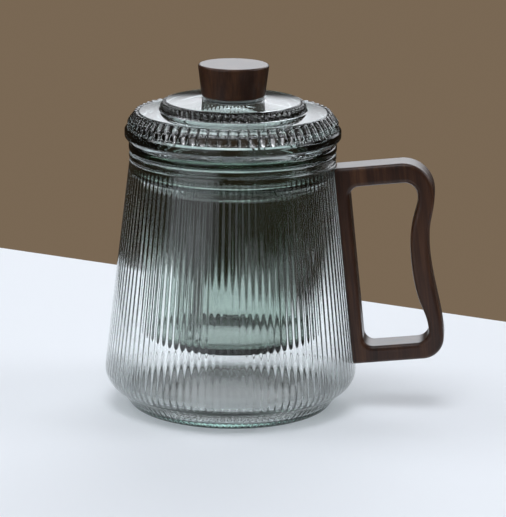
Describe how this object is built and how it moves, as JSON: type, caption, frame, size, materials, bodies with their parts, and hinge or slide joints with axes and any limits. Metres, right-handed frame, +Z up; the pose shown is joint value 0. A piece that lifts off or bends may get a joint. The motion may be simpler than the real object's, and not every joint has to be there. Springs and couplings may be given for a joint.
{
  "type": "lidded tea mug with infuser",
  "caption": "Conical fluted glass tea mug with a lift-out smoked glass infuser, a ribbed glass lid with a turned wooden knob, and a waisted wooden loop handle.",
  "frame": {"origin": "centre of the foot on the table, on the mug's axis", "axes": "+Z up along the mug's axis, +X towards the handle, symmetric about the XZ plane apart from how far the loose infuser is turned"},
  "size_m": [0.1319, 0.098, 0.1331],
  "materials": {
    "clear_glass": "polished, fluted on the inside",
    "smoked_glass": "polished smoky grey-green",
    "lid_glass": "polished, pressed ribs",
    "walnut": "oiled satin walnut",
    "adhesive": "clear set adhesive",
    "brass": "machined",
    "stainless": "satin",
    "silicone": "matt translucent silicone"
  },
  "bodies": {
    "mug": {"mug_body": "clear_glass", "handle": "walnut", "handle_bond": "adhesive"},
    "infuser": {"infuser": "smoked_glass"},
    "lid": {"lid": "lid_glass", "lid_knob": "walnut", "knob_insert": "brass", "knob_screw": "stainless", "knob_washer": "stainless", "gasket_lower": "silicone", "gasket_upper": "silicone"}
  },
  "joints": [
    {"name": "infuser_lift", "type": "slide", "parent": "mug", "child": "infuser", "axis": [0, 0, 1], "range_m": [0, 0.09]},
    {"name": "lid_lift", "type": "slide", "parent": "infuser", "child": "lid", "axis": [0, 0, 1], "range_m": [0, 0.05]}
  ]
}
